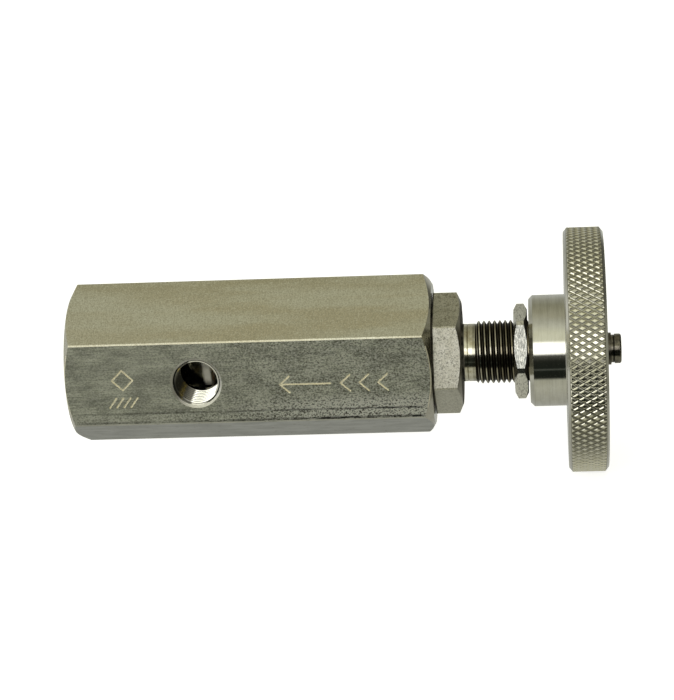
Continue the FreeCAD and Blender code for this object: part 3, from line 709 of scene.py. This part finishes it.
VIEW_AZIMUTH = math.radians(5.43)
VIEW_ELEVATION = math.radians(18.22)
VIEW_ROLL = math.radians(-3.31)
VIEW_DISTANCE = 662.7 * MM
VIEW_TARGET = Vector((74.9 * MM, 0.0, 1.83 * MM))
LENS = 119.8
FLOOR_SIZE = 8.0
FLOOR_GLOW = 0.8

# Light in the studio, by angle in degrees up from the front horizon and over the top
STUDIO = (
    (-180, (0.50, 0.51, 0.47)),
    (-146, (0.46, 0.46, 0.42)),
    (-114, (0.44, 0.44, 0.38)),
    (-90, (0.49, 0.49, 0.42)),
    (-66, (0.54, 0.54, 0.45)),
    (-46, (0.49, 0.49, 0.40)),
    (-41, (0.015, 0.017, 0.013)),
    (-24, (0.015, 0.018, 0.014)),
    (-22, (0.13, 0.14, 0.12)),
    (-20, (0.015, 0.018, 0.014)),
    (-4, (0.02, 0.022, 0.017)),
    (8, (0.09, 0.09, 0.075)),
    (12, (2.1, 2.1, 2.0)),
    (33, (2.1, 2.1, 2.0)),
    (37, (0.86, 0.86, 0.68)),
    (54, (0.80, 0.80, 0.62)),
    (68, (0.66, 0.66, 0.54)),
    (80, (0.53, 0.53, 0.43)),
    (94, (0.45, 0.44, 0.33)),
    (110, (0.37, 0.36, 0.26)),
    (128, (0.32, 0.315, 0.23)),
    (145, (0.38, 0.38, 0.31)),
    (162, (0.47, 0.475, 0.42)),
    (180, (0.50, 0.51, 0.47)),
)
LEFT_SIDE = (0.72, 0.72, 0.66)
RIGHT_SIDE = (0.32, 0.32, 0.26)
RIGHT_SHADE = (0.12, 0.12, 0.10)
SLOT_END = (0.34, 0.34, 0.30)
SLOT_MIDDLE = math.radians(-17)
SLOT_HALF = math.radians(26)
# Where the studio changes, by how far a direction points along X, and for the shade also along Z
SLOT_ENDS_LEFT = (-0.42, -0.54)
SLOT_ENDS_RIGHT = (0.30, 0.42)
SHADE_STARTS = (0.25, 0.5)
SHADE_ABOVE = (-0.45, -0.3)
LEFT_STARTS = (-0.78, -0.92)
RIGHT_STARTS = (0.88, 0.97)
BACKDROP = (0.95, 0.95, 0.95)


def make_world():
    """A light tent: a bright panel in front over a dark slot that ends at both sides, and a shaded right."""
    world = bpy.data.worlds.new("studio")
    bpy.context.scene.world = world
    g = Graph(world, "Generated")
    x, y, z = g.split(g.place)
    angle = g.calc("ARCTAN2", z, g.times(y, -1.0))
    ramp = g.add("ValToRGB", (), {0: g.span(angle, -math.pi, math.pi)})
    stops = ramp.color_ramp.elements
    for number, (degrees, colour) in enumerate(STUDIO):
        place = (degrees + 180) / 360
        stop = stops[number] if number < 2 else stops.new(place)
        stop.position = place
        stop.color = (*colour, 1.0)
    past_slot = g.either(g.span(x, *SLOT_ENDS_LEFT), g.span(x, *SLOT_ENDS_RIGHT))
    slot_share = g.times(past_slot, g.band(angle, SLOT_MIDDLE, SLOT_HALF, 0.1))
    opened = g.mix(slot_share, ramp.outputs[0], SLOT_END)
    shade_share = g.times(g.span(x, *SHADE_STARTS), g.span(z, *SHADE_ABOVE))
    shaded = g.mix(shade_share, opened, RIGHT_SHADE)
    left = g.mix(g.span(x, *LEFT_STARTS), shaded, LEFT_SIDE)
    light = g.mix(g.span(x, *RIGHT_STARTS), left, RIGHT_SIDE)
    seen = g.mix(g.add("LightPath").outputs["Is Camera Ray"], light, BACKDROP)
    g.feed(g.nodes["Background"].inputs["Color"], seen)


def make_floor():
    half = FLOOR_SIZE / 2
    mesh = bpy.data.meshes.new("floor")
    corners = [(-half, -half), (half, -half), (half, half), (-half, half)]
    mesh.from_pydata([(x, y, 0) for x, y in corners], [], [(0, 1, 2, 3)])
    floor = bpy.data.objects.new("floor", mesh)
    floor.location.z = cad_box[LOW][Z]
    paper = Finish("floor", metallic=0.0, roughness=0.9)
    paper.shader.inputs["Base Color"].default_value = (*BACKDROP, 1.0)
    paper.shader.inputs["Emission Color"].default_value = (*BACKDROP, 1.0)
    paper.shader.inputs["Emission Strength"].default_value = FLOOR_GLOW
    mesh.materials.append(paper.material)
    # the valve is lit and mirrored by the studio, so the paper below it is only a backdrop
    floor.visible_glossy = False
    floor.visible_diffuse = False
    bpy.context.scene.collection.objects.link(floor)


def make_camera():
    data = bpy.data.cameras.new("camera")
    data.lens = LENS
    camera = bpy.data.objects.new("camera", data)
    bpy.context.scene.collection.objects.link(camera)
    level = math.cos(VIEW_ELEVATION)
    back = Vector((math.sin(VIEW_AZIMUTH) * level, -math.cos(VIEW_AZIMUTH) * level, math.sin(VIEW_ELEVATION)))
    right = (-back).cross(Vector((0, 0, 1))).normalized()
    up = right.cross(-back)
    turned_right = math.cos(VIEW_ROLL) * right + math.sin(VIEW_ROLL) * up
    turned_up = -math.sin(VIEW_ROLL) * right + math.cos(VIEW_ROLL) * up
    axes = Matrix((turned_right, turned_up, back)).transposed()
    camera.matrix_world = Matrix.Translation(VIEW_TARGET + back * VIEW_DISTANCE) @ axes.to_4x4()
    bpy.context.scene.camera = camera


make_camera()
make_world()
make_floor()
bpy.context.scene.view_settings.view_transform = "Standard"
finish_pieces()
